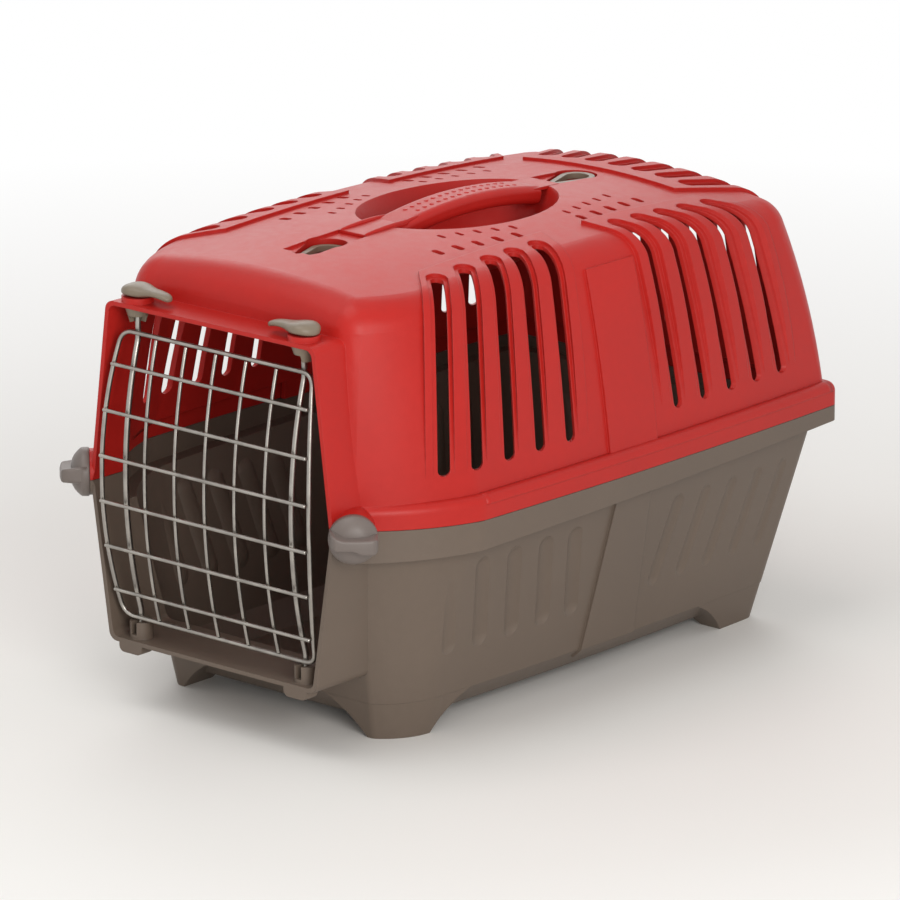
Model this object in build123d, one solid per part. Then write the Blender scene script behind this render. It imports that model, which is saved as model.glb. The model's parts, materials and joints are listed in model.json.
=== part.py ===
from build123d import *
import math
import os

# Airline pet carrier: two moulded half shells, a wire door and their fittings.
# Millimetres. The door faces -Y, +X is the carrier's right side, +Z is up.

# Overall sizes of the shells
shell_length = 489.0
shell_width = 315.0
parting_height = 157.5
roof_height = 324.0
handle_height = 330.0
wall = 3.0
seam_gap = 0.3

# Plan of the rim where the shells meet
front_corner_x = 108.0
body_front_y = -215.0
side_corner_inset = 2.0
side_corner_y = -139.0
diagonal_bulge = 7.0
rear_corner_inset = 6.0
rear_bow = 2.0
corner_drift_x = 0.4
corner_drift_y = 0.08

# Rims
cover_rim_height = 17.0
cover_rim_round = 7.0
base_rim_front = 22.5
base_rim_rear = 11.0

# Cover form: height, side, rear and front insets, corner rounds
cover_foot = (6.0, 3.0, 1.5)
cover_waist = (17.0, 8.0, 1.0)
cover_top = (40.0, 28.0, 8.0)
cover_waist_z = 236.0
cover_top_z = 335.0
roof_radius_across = 640.0
roof_radius_along = 2400.0
shoulder_radius = 24.0
bank_rise = 2.2
bank_fade = 5.0

# Base form: side, rear and front insets at the floor line and at the parting
base_low = (45.0, 34.0, 37.0)
base_high = (8.0, 9.0, 3.0)
underside_height = 9.5
side_turn = 17.0
side_turn_inset = 15.0
foot_inner_x = 85.0
foot_front_end = -143.0
foot_rear_end = 170.0
foot_round = 8.0
foot_setback = 0.3
foot_waist_height = 10.0
foot_waist_flare = 9.0
foot_top_flare = 36.0

# Door opening and its collar
collar_front_y = -240.0
collar_back_y = -180.0
collar_top_z = 287.0
collar_bottom_z = 47.0
collar_end_x = 95.0
collar_middle_x = 111.5
collar_wall = 3.0
collar_corner_round = 7.0

# Side vents
slot_width = 8.8
channel_width = 15.0
slot_bottom_z = 190.0
channel_margin = 3.1
slot_top_x = 104.0
slot_bottom_x = 147.0
bank_top_x = 88.0
front_slot_bottoms = (-168.0, -135.5, -102.5, -71.0, -40.0)
front_slot_tops = (-128.0, -100.0, -73.0, -49.0, -24.0)
rear_slot_bottoms = (74.5, 104.5, 135.0, 165.0, 195.0)
rear_slot_tops = (60.0, 84.5, 109.0, 134.0, 160.0)

# Rear vents
rear_slot_count = 7
rear_slot_pitch_low = 27.0
rear_slot_pitch_high = 21.5
rear_slot_top_y = 184.0
rear_slot_bottom_y = 237.0
rear_bank_top_y = 162.0

# Roof vents: rows of ovals beside the vent banks
large_oval = (10.5, 5.2)
small_oval = (7.5, 3.4)
front_large_row = ((70.0, -88.0), (80.0, -18.0))
front_small_row = ((50.0, -62.0), (67.5, -8.0))
rear_large_row = ((80.0, 50.0), (73.0, 118.0))
rear_small_row = ((66.0, 50.0), (55.0, 106.0))
ovals_in_row = 5

# Pilasters between the two banks of a side
pilaster_front_y = -3.0
pilaster_rear_y = 47.0
pilaster_top_z = 300.0
pilaster_rise = 2.0
base_pilaster = ((10.0, 136.0), (47.0, 136.0), (61.0, 20.0), (3.0, 20.0))

# Flutes of the base
flute_radius = 11.0
flute_depth = 2.0
flute_top_z = 117.0
flute_bottom_z = 62.0
flute_lean = 11.0
front_flutes = (-152.0, -121.0, -89.0, -57.0, -27.0)
rear_flutes = (84.0, 115.0, 145.0, 175.0, 204.0)
end_flute_pitch = 29.0
end_flute_lean = 0.85

# Handle bowl in the roof
bowl_middle_y = 12.0
bowl_half_width = 60.0
bowl_half_length = 84.0
bowl_floor_z = 286.0
bowl_floor_half_width = 42.0
bowl_floor_half_length = 64.0
bowl_round = 12.0

# Handle
grip_width = 28.0
grip_thickness = 13.0
grip_round = 5.0
grip_end_setback = 12.0
grip_end_drop = 7.0
root_width = 26.4
root_lap = 6.0
root_front_length = 24.0
root_rear_length = 8.0
root_clearance = 0.06
peg_length = 7.0
peg_radius = 2.5
peg_clearance = 0.02

# Strap groove, loops and their pockets
groove_width = 27.0
groove_depth = 2.2
pocket_tip = 4.5
pocket_end = 15.0
pocket_length = 47.0
pocket_depth = 13.0
front_pocket_y = -155.0
rear_pocket_y = 106.0
loop_tip = 3.0
loop_end = 12.5
loop_reach = 27.0
loop_bar = 4.0
loop_thickness = 4.0
loop_pin_radius = 1.5
loop_pin_bite = 1.8
loop_pin_clearance = 0.08
loop_sink = 1.0
raised_loop_gap = 1.0

# Door wires
rod_x = 76.0
rod_radius = 2.0
frame_radius = 1.6
wire_radius = 1.3
weld_gap = 0.03
mesh_gap = 0.12
door_end_y = -232.5
door_bow = 13.5
door_top_z = 266.0
door_bottom_z = 65.0
door_top_half = 87.0
door_middle_half = 95.0
door_bottom_half = 88.0
door_corner = 10.0
cross_wire_count = 6
cross_wire_setback = 0.3
cross_wire_top_z = 243.5
cross_wire_bottom_z = 84.0
upright_count = 5
upright_pitch = 27.5
upright_end_gap = 0.4
rod_top_z = 277.5
rod_bottom_z = 53.0
rod_bend = 14.0
rod_straight = 5.0
hub_mouth_clearance = 0.45

# Latches on top of the collar
latch_pad_radius = 11.0
latch_pad_height = 4.0
lever_reach = 31.0
lever_head_radius = 11.0
lever_tip_radius = 4.5
lever_thickness = 4.5
lever_edge = 1.5
lever_dome = 4.0
lever_dome_radius = 8.0
spindle_radius = 4.0
spindle_clearance = 0.08
press_clearance = 0.02
spindle_bite = 4.0
hub_top_radius = 9.0
hub_tip_radius = 5.5
hub_height = 11.0
slide_clearance = 0.15

# Lower rod bosses and the tabs under the sill
boss_radius = 8.0
boss_height = 12.0
boss_notch_clearance = 0.4
tab_width = 21.0
tab_length = 11.0
tab_height = 6.5
tab_round = 4.5

# Corner knobs
knob_x = 121.1
knob_y = -231.3
knob_z = 159.5
knob_radius = 16.8
knob_rim = 7.0
knob_dome = 7.0
knob_face_radius = 8.5
knob_edge = 1.5
knob_grip_near = 5.6
knob_grip_far = 6.8
knob_grip_height = 20.5
knob_grip_edge = 3.2
pod_radius = 16.0
pod_wall = 3.0
pod_depth = 34.0
pod_cavity_radius = 10.5
knob_spindle_radius = 5.0
cam_radius = 7.4
cam_thickness = 2.5

rear_end = collar_front_y + shell_length
half_width = shell_width / 2
cover_seat_z = parting_height + seam_gap
far = 1000.0


def block(x0, x1, y0, y1, z0, z1):
    """Plain box between two opposite corners."""
    middle = Location(((x0 + x1) / 2, (y0 + y1) / 2, (z0 + z1) / 2))
    return middle * Box(x1 - x0, y1 - y0, z1 - z0)


def solid_of(shape):
    """The largest single solid of a result."""
    return max(shape.solids(), key=lambda s: s.volume)


def with_mirrors(shapes):
    """The shapes of the right side followed by their mirror images."""
    return list(shapes) + [mirror(s, Plane.YZ) for s in shapes]


def plan(z, insets, offset, rounds):
    """Body outline at height z: side, rear and front insets from the rim, then an offset."""
    side, rear, front = insets
    rim_x = half_width - side_corner_inset
    run_x = rim_x - front_corner_x
    run_y = side_corner_y - body_front_y
    run = math.hypot(run_x, run_y)
    normal_x = run_y / run
    normal_y = -run_x / run
    front_x = front_corner_x - corner_drift_x * side - offset * (1 + normal_y) / normal_x
    front_y = body_front_y + front + offset
    side_x = rim_x - side - offset
    side_y = side_corner_y + corner_drift_y * side - offset * (1 - normal_x) / normal_y
    bulge_x = (front_x + side_x) / 2 + diagonal_bulge * normal_x
    bulge_y = (front_y + side_y) / 2 + diagonal_bulge * normal_y
    rear_x = half_width - rear_corner_inset - side - offset
    rear_y = rear_end - rear_bow - rear - offset
    middle_x = half_width - side - offset
    middle_y = (side_y + rear_y) / 2
    with BuildSketch(Plane.XY.offset(z)) as outline:
        with BuildLine():
            Line((-front_x, front_y), (front_x, front_y))
            ThreePointArc((front_x, front_y), (bulge_x, bulge_y), (side_x, side_y))
            ThreePointArc((side_x, side_y), (middle_x, middle_y), (rear_x, rear_y))
            ThreePointArc((rear_x, rear_y), (0, rear_y + rear_bow), (-rear_x, rear_y))
            ThreePointArc((-rear_x, rear_y), (-middle_x, middle_y), (-side_x, side_y))
            ThreePointArc((-side_x, side_y), (-bulge_x, bulge_y), (-front_x, front_y))
        make_face()
        for corner_y, radius in zip((front_y, side_y, rear_y), rounds):
            corners = [v for v in outline.vertices() if abs(v.Y - corner_y) < 0.01]
            fillet(corners, radius)
    return outline.sketch.faces()[0]


def rim_plan(z, offset):
    """Outline of the rim at height z, offset inward."""
    return plan(z, (0.0, 0.0, 0.0), offset, (9, 26, 7 - offset))


def prism(face, z1):
    """Upright prism from a flat face up to height z1."""
    return extrude(face, z1 - face.center().Z, dir=(0, 0, 1))


def crown(top):
    """Everything under the roof's crown, which is curved across and along."""
    half = half_width + 20
    drop = roof_radius_across - math.sqrt(roof_radius_across ** 2 - half ** 2)
    sections = []
    for y in (-rear_end - 20, -rear_end / 2, 0, rear_end / 2, rear_end + 20):
        apex = top - (roof_height - roof_z(y))
        with BuildSketch(Plane.XZ.offset(-y)) as section:
            with BuildLine():
                ThreePointArc((-half, apex - drop), (0, apex), (half, apex - drop))
                Polyline((half, apex - drop), (half, 0), (-half, 0), (-half, apex - drop))
            make_face()
        sections.append(section.sketch.faces()[0])
    return loft(sections)


def cover_form(offset, fade=0.0):
    """Closed form of the cover, moved inward by offset; fade sinks its foot."""
    foot = tuple(inset + fade for inset in cover_foot)
    levels = (
        (cover_seat_z, foot, (8, 34, 8)),
        (cover_waist_z, cover_waist, (14, 40, 16)),
        (cover_top_z, cover_top, (30, 50, 30)),
    )
    faces = [plan(z, insets, offset, rounds) for z, insets, rounds in levels]
    body = solid_of(loft(faces) & crown(roof_height - offset))
    roof = body.faces().sort_by(Axis.Z)[-1]
    return fillet(roof.edges(), shoulder_radius - offset)


def base_section(z, turned, offset):
    """Outline of the base at height z, with or without the turn under its walls."""
    share = z / parting_height
    turn = side_turn_inset if turned else 0.0
    insets = tuple(a + (b - a) * share + turn for a, b in zip(base_low, base_high))
    return plan(z, insets, offset, (7, 22, 12))


def base_form(offset):
    """Closed form of the base, moved inward by offset."""
    turn_z = underside_height + side_turn
    hull = loft([base_section(turn_z, False, offset),
                 base_section(parting_height + 2, False, offset)], ruled=True)
    keel = loft([base_section(underside_height + offset, True, offset),
                 base_section(turn_z, False, offset)], ruled=True)
    return solid_of(hull + keel)


def collar(inset, y0, y1):
    """Six-sided collar prism from y0 back to y1."""
    end_x = collar_end_x - inset
    middle_x = collar_middle_x - inset
    top_z = collar_top_z - inset
    bottom_z = collar_bottom_z + inset
    with BuildSketch(Plane.XZ.offset(-y0)) as outline:
        with BuildLine():
            Polyline((end_x, bottom_z), (middle_x, parting_height), (end_x, top_z),
                     (-end_x, top_z), (-middle_x, parting_height), (-end_x, bottom_z), close=True)
        make_face()
        ends = [v for v in outline.vertices() if abs(v.Z - parting_height) > 1]
        fillet(ends, collar_corner_round - inset / 2)
    return extrude(outline.sketch.faces()[0], y1 - y0, dir=(0, 1, 0))


def knob_place(t, side):
    """Plane across a corner knob's axis, t outward of the pod's face."""
    outward = Vector(side * math.sqrt(0.5), -math.sqrt(0.5), 0)
    middle = Vector(side * knob_x, knob_y, knob_z) + outward * t
    return Plane(origin=middle, x_dir=(side * math.sqrt(0.5), math.sqrt(0.5), 0), z_dir=outward)


def pod(radius, t0, t1, side):
    """Cylinder along a corner knob's axis between two distances from the pod's face."""
    return extrude(knob_place(t0, side) * Circle(radius), t1 - t0)


def pods(radius, t0, t1):
    """The same cylinder on both corner knob axes."""
    return [pod(radius, t0, t1, side) for side in (1, -1)]


def upright_cylinder(x, y, radius, z0, z1):
    """Cylinder along Z."""
    return extrude(Plane.XY.offset(z0) * Pos(x, y) * Circle(radius), z1 - z0)


def plate(line, width, z0):
    """Leaning slot cutter over a plan line, rounded at its foot and at its inner end."""
    inner, outer = line
    dx = outer[0] - inner[0]
    dy = outer[1] - inner[1]
    reach = math.hypot(dx, dy)
    angle = math.degrees(math.atan2(dy, dx))
    middle = ((inner[0] + outer[0]) / 2, (inner[1] + outer[1]) / 2)
    foot_z = z0 + width / 2
    slot = Plane.XY.offset(foot_z) * Pos(*middle) * Rot(0, 0, angle) * SlotCenterToCenter(reach, width)
    upper = extrude(slot, roof_height + 20 - foot_z)
    run = Plane(origin=(inner[0], inner[1], foot_z), z_dir=(dx, dy, 0))
    return upper + extrude(run * Circle(width / 2), reach)


def side_lines(tops, bottoms):
    """Plan lines of one bank of side slots, from the roof outward."""
    lines = []
    for top_y, bottom_y in zip(tops, bottoms):
        slope = (bottom_y - top_y) / (slot_bottom_x - slot_top_x)
        outer_x = half_width + 12
        lines.append(((slot_top_x, top_y), (outer_x, top_y + slope * (outer_x - slot_top_x))))
    return lines


def rear_lines():
    """Plan lines of the rear slots."""
    lines = []
    outer_y = rear_end + 12
    for i in range(rear_slot_count):
        place = i - (rear_slot_count - 1) / 2
        spread = place * (rear_slot_pitch_low - rear_slot_pitch_high)
        slope = spread / (rear_slot_bottom_y - rear_slot_top_y)
        high_x = place * rear_slot_pitch_high
        lines.append(((high_x, rear_slot_top_y), (high_x + slope * (outer_y - rear_slot_top_y), outer_y)))
    return lines


def bank_area(lines, rest_x=None, rest_y=None):
    """Plan region of a vent bank, a little past its end slots."""
    first, last = lines[0], lines[-1]
    count = len(lines) - 1
    edges = []
    for line, other, share_in, share_out in ((first, last, 0.62, 0.55), (last, first, 0.62, 0.55)):
        inner = tuple(a + (a - b) / count * share_in for a, b in zip(line[0], other[0]))
        outer = tuple(a + (a - b) / count * share_out for a, b in zip(line[1], other[1]))
        if rest_x is not None:
            share = (rest_x - inner[0]) / (outer[0] - inner[0])
        else:
            share = (rest_y - inner[1]) / (outer[1] - inner[1])
        start = tuple(a + share * (b - a) for a, b in zip(inner, outer))
        edges.append((start, outer))
    points = [edges[0][0], edges[0][1], edges[1][1], edges[1][0]]
    face = Plane.XY.offset(cover_seat_z + 4) * Polygon(*points, align=None)
    return extrude(face, roof_height - cover_seat_z, dir=(0, 0, 1))


def oval_holes():
    """Rows of oval roof vents on the right side."""
    holes = []
    rows = ((front_large_row, large_oval), (front_small_row, small_oval),
            (rear_large_row, large_oval), (rear_small_row, small_oval))
    for (start, end), (length, width) in rows:
        for i in range(ovals_in_row):
            share = i / (ovals_in_row - 1)
            x = start[0] + (end[0] - start[0]) * share
            y = start[1] + (end[1] - start[1]) * share
            oval = Plane.XY.offset(roof_height - 30) * Pos(x, y) * SlotOverall(length, width)
            holes.append(extrude(oval, 60))
    return holes


def bowl(grow):
    """Handle bowl in the roof, grown by one thickness for its walls."""
    over = 12.0
    rise = over / (roof_height - bowl_floor_z)
    top_width = bowl_half_width + (bowl_half_width - bowl_floor_half_width) * rise
    top_length = bowl_half_length + (bowl_half_length - bowl_floor_half_length) * rise
    top = Plane.XY.offset(roof_height + over) * Pos(0, bowl_middle_y) * \
        Ellipse(top_width + grow, top_length + grow)
    bottom = Plane.XY.offset(bowl_floor_z - grow) * Pos(0, bowl_middle_y) * \
        Ellipse(bowl_floor_half_width + grow, bowl_floor_half_length + grow)
    body = loft([bottom.faces()[0], top.faces()[0]])
    floor = body.faces().sort_by(Axis.Z)[0]
    return fillet(floor.edges(), bowl_round + grow)


def teardrop(z, tip_y, tip_radius, end_radius, reach):
    """Flat teardrop with its small end at tip_y, pointing away from the door."""
    tip = Plane.XY.offset(z) * Pos(0, tip_y) * Circle(tip_radius)
    end = Plane.XY.offset(z) * Pos(0, tip_y + reach) * Circle(end_radius)
    with BuildSketch(Plane.XY.offset(z)) as outline:
        make_hull([*tip.edges(), *end.edges()])
    return outline.sketch.faces()[0]


def pocket(start_y, grow):
    """Teardrop pocket of a strap loop."""
    reach = pocket_length - pocket_tip - pocket_end
    floor_z = roof_height - pocket_depth - grow
    face = teardrop(floor_z, start_y + pocket_tip, pocket_tip + grow, pocket_end + grow, reach)
    return extrude(face, 40, dir=(0, 0, 1))


def roof_z(y):
    """Height of the roof's middle line."""
    return roof_height - roof_radius_along + math.sqrt(roof_radius_along ** 2 - y ** 2)


def strap_groove(grow):
    """Shallow groove along the roof's middle between the two pockets."""
    y0 = loop_axis_y(front_pocket_y) - loop_thickness / 2 - raised_loop_gap - grow
    y1 = rear_pocket_y + pocket_length - pocket_end + grow
    sink = groove_depth + grow
    with BuildSketch(Plane.YZ.offset(-groove_width / 2 - grow)) as section:
        with BuildLine():
            ThreePointArc((y0, roof_z(y0) - sink), ((y0 + y1) / 2, roof_z((y0 + y1) / 2) - sink),
                          (y1, roof_z(y1) - sink))
            Polyline((y1, roof_z(y1) - sink), (y1, roof_height + 15), (y0, roof_height + 15),
                     (y0, roof_z(y0) - sink))
        make_face()
    return extrude(section.sketch.faces()[0], groove_width + 2 * grow, dir=(1, 0, 0))


def roof_hollows(grow):
    """Everything sunk into the middle of the roof, or grown by one thickness for its walls."""
    return bowl(grow) + [strap_groove(grow), pocket(front_pocket_y, grow), pocket(rear_pocket_y, grow)]


def loop_axis_y(start_y):
    """Hinge line of a strap loop."""
    return start_y + pocket_tip + loop_tip / 2


def loop_axis_z(start_y):
    """Height of a strap loop's hinge line, with the loop just under the groove floor."""
    return roof_z(start_y) - groove_depth - loop_sink - loop_thickness / 2


def loop_pin(start_y, radius, extra):
    """Cross pin of a strap loop, or its hole."""
    half_angle = math.asin((pocket_end - pocket_tip) / (pocket_length - pocket_tip - pocket_end))
    pocket_half = pocket_tip / math.cos(half_angle) + loop_tip / 2 * math.tan(half_angle)
    half = pocket_half + loop_pin_bite + extra
    seat = Plane(origin=(-half, loop_axis_y(start_y), loop_axis_z(start_y)), z_dir=(1, 0, 0))
    return extrude(seat * Circle(radius), 2 * half)


def make_strap_ring(start_y):
    """Flat teardrop loop with its hinge pin."""
    axis_y = loop_axis_y(start_y)
    low_z = loop_axis_z(start_y) - loop_thickness / 2
    outer = teardrop(low_z, axis_y, loop_tip, loop_end, loop_reach)
    inner_reach = loop_reach - loop_tip - 1.5
    inner = teardrop(low_z, axis_y + loop_tip + 1.5, 1.0, loop_end - loop_bar, inner_reach)
    ring = extrude(outer, loop_thickness, dir=(0, 0, 1)) - extrude(inner, loop_thickness, dir=(0, 0, 1))
    rounded = block(-far, far, axis_y, far, 0, far)
    barrel_seat = Plane(origin=(-loop_tip, axis_y, loop_axis_z(start_y)), z_dir=(1, 0, 0))
    barrel = extrude(barrel_seat * Circle(loop_thickness / 2), 2 * loop_tip)
    return solid_of((ring & rounded) + barrel + loop_pin(start_y, loop_pin_radius, 0))


def side_bulge(y):
    """How far the side's plan curve lies inside its middle at y."""
    middle_y = (side_corner_y + rear_end) / 2
    span = rear_end - middle_y
    drop = rear_corner_inset if y > middle_y else side_corner_inset
    return drop * ((y - middle_y) / span) ** 2


def capsule(top, bottom, radius):
    """Round-ended cylinder between two points."""
    run = top - bottom
    stem = extrude(Plane(origin=bottom, z_dir=run) * Circle(radius), run.length)
    return stem + Pos(*top) * Sphere(radius) + Pos(*bottom) * Sphere(radius)


def base_flutes(grow):
    """Leaning cutters that flute the side and rear walls of the base."""
    away = flute_radius - flute_depth

    def line_inset(index, z):
        share = z / parting_height
        return base_low[index] + (base_high[index] - base_low[index]) * share

    cutters = []
    for y in front_flutes + rear_flutes:
        lean = flute_lean if y < 0 else -flute_lean
        top = Vector(half_width - line_inset(0, flute_top_z) - side_bulge(y) + away, y, flute_top_z)
        bottom = Vector(half_width - line_inset(0, flute_bottom_z) - side_bulge(y) + away,
                        y + lean, flute_bottom_z)
        cutters.append(capsule(top, bottom, flute_radius + grow))
    cutters = with_mirrors(cutters)
    for i in range(rear_slot_count):
        x = (i - (rear_slot_count - 1) / 2) * end_flute_pitch
        top = Vector(x, rear_end - line_inset(1, flute_top_z) + away, flute_top_z)
        bottom = Vector(x * end_flute_lean, rear_end - line_inset(1, flute_bottom_z) + away,
                        flute_bottom_z)
        cutters.append(capsule(top, bottom, flute_radius + grow))
    return cutters


def rod_y():
    """Hinge line of the rods, which stand just behind the frame wire."""
    return door_end_y + frame_radius + rod_radius + weld_gap


def door_y(z):
    """Middle of the frame wire at height z, on the door's forward bow."""
    middle_z = (door_top_z + door_bottom_z) / 2
    half = (door_top_z - door_bottom_z) / 2
    radius = (half ** 2 + door_bow ** 2) / (2 * door_bow)
    return door_end_y - (math.sqrt(radius ** 2 - (z - middle_z) ** 2) - (radius - door_bow))


def make_upper_shell():
    """Cover with its rim, collar half, vent banks, handle bowl and knob pods."""
    above_seam = block(-far, far, -far, far, cover_seat_z, far)
    rim = prism(rim_plan(cover_seat_z, 0), cover_seat_z + cover_rim_height)
    rim = fillet(rim.faces().sort_by(Axis.Z)[-1].edges(), cover_rim_round)
    parts = [rim, collar(0, collar_front_y, collar_back_y) & above_seam]
    parts += [p & above_seam for p in pods(pod_radius, -pod_depth, 0)]
    for x in (rod_x, -rod_x):
        parts.append(upright_cylinder(x, rod_y(), latch_pad_radius, collar_top_z - 2,
                                      collar_top_z + latch_pad_height))
    body = cover_form(0) + parts

    under_rim = prism(rim_plan(parting_height - 10, wall), cover_seat_z + cover_rim_height - wall)
    body = body - [cover_form(wall), under_rim]
    core = cover_form(wall / 2)
    body = body + (core & roof_hollows(wall))
    body = body - roof_hollows(0)
    body = body - collar(collar_wall, collar_front_y - 20, collar_back_y + 30)

    lines = side_lines(front_slot_tops, front_slot_bottoms)
    other_lines = side_lines(rear_slot_tops, rear_slot_bottoms)
    end_lines = rear_lines()
    slots = with_mirrors([plate(line, slot_width, slot_bottom_z) for line in lines + other_lines])
    slots += [plate(line, slot_width, slot_bottom_z) for line in end_lines]
    body = body - slots
    body = body - with_mirrors(oval_holes())
    small = peg_holes()
    for start_y in (front_pocket_y, rear_pocket_y):
        small.append(loop_pin(start_y, loop_pin_radius + loop_pin_clearance, loop_pin_clearance))
    for x in (rod_x, -rod_x):
        small.append(upright_cylinder(x, rod_y(), spindle_radius + spindle_clearance,
                                      collar_top_z - 20, collar_top_z + 20))
    keep_collar = collar(0, collar_front_y - 20, collar_back_y)
    for p in pods(pod_cavity_radius, -pod_depth, -pod_wall):
        small += (p - keep_collar).solids()
    small += pods(knob_spindle_radius + spindle_clearance, -pod_wall - 2, 5)
    body = body - small

    areas = with_mirrors([bank_area(lines, rest_x=bank_top_x), bank_area(other_lines, rest_x=bank_top_x)])
    areas.append(bank_area(end_lines, rest_y=rear_bank_top_y))
    channel_z = slot_bottom_z - channel_margin
    channels = with_mirrors([plate(line, channel_width, channel_z) for line in lines + other_lines])
    channels += [plate(line, channel_width, channel_z) for line in end_lines]
    raised = cover_form(-bank_rise, fade=bank_fade)
    ribs = []
    for area in areas:
        ribs += (((raised & area) - core) - channels).solids()
    pilaster_form = cover_form(-pilaster_rise)
    for side in (1, -1):
        x0, x1 = sorted((side * slot_top_x, side * half_width))
        strip = block(x0, x1, pilaster_front_y, pilaster_rear_y, cover_seat_z, pilaster_top_z)
        ribs += ((pilaster_form & strip) - core).solids()
    return solid_of(body + ribs)


def peg_places():
    """Where the handle's pegs pass through the roof."""
    front = bowl_middle_y - bowl_half_length - root_front_length * 0.6
    rear = bowl_middle_y + bowl_half_length + root_rear_length * 0.5
    return front, rear


def peg_holes():
    """Holes in the roof for the handle's pegs."""
    return [upright_cylinder(0, y, peg_radius, roof_height - 20, roof_height + 5) for y in peg_places()]


def flared_foot(outer_y, inner_y, top_z):
    """Foot from the floor up, which flares toward the middle of the base."""
    toward = math.copysign(1, inner_y - outer_y)
    sections = []
    for z, flare in ((0, 0), (foot_waist_height, foot_waist_flare), (top_z, foot_top_flare)):
        width = half_width - foot_inner_x + flare
        length = abs(inner_y - outer_y) + flare
        corner = Pos(half_width - width / 2, outer_y + toward * length / 2, z)
        sections.append(corner * RectangleRounded(width, length, foot_round))
    return loft(sections)


def make_lower_shell():
    """Base with its rim, collar half, feet, flutes, rod bosses and knob pods."""
    below_seam = block(-far, far, -far, far, -far, parting_height)
    slope = math.degrees(math.atan2(base_rim_front - base_rim_rear, rear_end - body_front_y))

    def above_slant(raise_by):
        pivot = Location((0, body_front_y, parting_height - base_rim_front + raise_by))
        return pivot * Rot(slope, 0, 0) * Pos(0, 0, 100) * Box(far, far * 2, 200)

    rim = prism(rim_plan(parting_height - base_rim_front - 5, 0), parting_height) & above_slant(0)
    turn_z = underside_height + side_turn
    feet_form = loft([base_section(0, False, foot_setback), base_section(turn_z, False, foot_setback)],
                     ruled=True)
    feet = [feet_form & flared_foot(y0, y1, turn_z)
            for y0, y1 in ((-rear_end, foot_front_end), (rear_end, foot_rear_end))]
    pilaster_face = Plane.YZ.offset(slot_top_x - 14) * Polygon(*base_pilaster, align=None)
    pilaster = base_form(-pilaster_rise) & extrude(pilaster_face, 60, dir=(1, 0, 0))
    parts = [rim, collar(0, collar_front_y, collar_back_y)]
    parts += with_mirrors(feet + [pilaster]) + pods(pod_radius, -pod_depth, 0)
    body = (base_form(0) + parts) & below_seam
    body = body - base_flutes(0)

    cavity = base_form(wall) - base_flutes(wall)
    top = prism(rim_plan(parting_height - base_rim_front - 5, wall), parting_height + 5)
    body = body - [cavity, top & above_slant(wall)]
    body = body - collar(collar_wall, collar_front_y - 20, collar_back_y + 30)

    sill_z = collar_bottom_z + collar_wall
    extras = []
    for x in (rod_x, -rod_x):
        extras.append(upright_cylinder(x, rod_y(), boss_radius, sill_z - 1, sill_z + boss_height))
        tab = block(x - tab_width / 2, x + tab_width / 2, collar_front_y, collar_front_y + tab_length,
                    collar_bottom_z - tab_height, collar_bottom_z + 1)
        extras.append(fillet(tab.edges().filter_by(Axis.Y).group_by(Axis.Z)[0], tab_round))
    body = body + extras
    cuts = []
    for x in (rod_x, -rod_x):
        radius = rod_radius + boss_notch_clearance
        floor_z = rod_bottom_z - weld_gap
        cuts.append(upright_cylinder(x, rod_y(), radius, floor_z, sill_z + 30))
        cuts.append(block(x - radius, x + radius, collar_front_y - 20, rod_y(), floor_z, sill_z + 30))
    keep_collar = collar(0, collar_front_y - 20, collar_back_y)
    for p in pods(pod_cavity_radius, -pod_depth, -pod_wall):
        cuts += (p - keep_collar).solids()
    cuts += pods(knob_spindle_radius + spindle_clearance, -pod_wall - 2, 5)
    return solid_of(body - cuts)


def make_handle():
    """Arched grip over the bowl with roots that lie in the strap groove."""
    y0 = bowl_middle_y - bowl_half_length
    y1 = bowl_middle_y + bowl_half_length
    middle_z = handle_height - grip_thickness / 2
    start = (y0 + grip_end_setback, middle_z - grip_end_drop)
    end = (y1 - grip_end_setback, middle_z - grip_end_drop)
    with BuildLine(Plane.YZ) as line:
        ThreePointArc(start, (bowl_middle_y, middle_z), end)
    path = line.wires()[0]
    seat = Plane(origin=path @ 0, x_dir=(1, 0, 0), z_dir=path % 0)
    grip = sweep(seat * RectangleRounded(grip_width, grip_thickness, grip_round), path)

    floor = root_clearance - groove_depth
    parts = []
    for near, out in ((y0 + grip_end_setback + root_lap, y0 - root_front_length),
                      (y1 - grip_end_setback - root_lap, y1 + root_rear_length)):
        middle = (near + out) / 2
        with BuildSketch(Plane.YZ.offset(-root_width / 2)) as section:
            with BuildLine():
                ThreePointArc((near, roof_z(near)), (middle, roof_z(middle)), (out, roof_z(out)))
                Line((out, roof_z(out)), (out, roof_z(out) + floor))
                ThreePointArc((out, roof_z(out) + floor), (middle, roof_z(middle) + floor),
                              (near, roof_z(near) + floor))
                Line((near, roof_z(near) + floor), (near, roof_z(near)))
            make_face()
        parts.append(extrude(section.sketch.faces()[0], root_width, dir=(1, 0, 0)))
    for y in peg_places():
        top_z = roof_z(y) - groove_depth / 2
        parts.append(upright_cylinder(0, y, peg_radius - peg_clearance, top_z - peg_length, top_z))
    return solid_of(grip + parts)


def leg_x(z):
    """Middle of the frame wire's right leg at height z."""
    share = (door_top_z - z) / (door_top_z - door_bottom_z)
    straight = door_top_half + (door_bottom_half - door_top_half) * share
    swell = door_middle_half - (door_top_half + door_bottom_half) / 2
    return straight + swell * (door_end_y - door_y(z)) / door_bow


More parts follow.
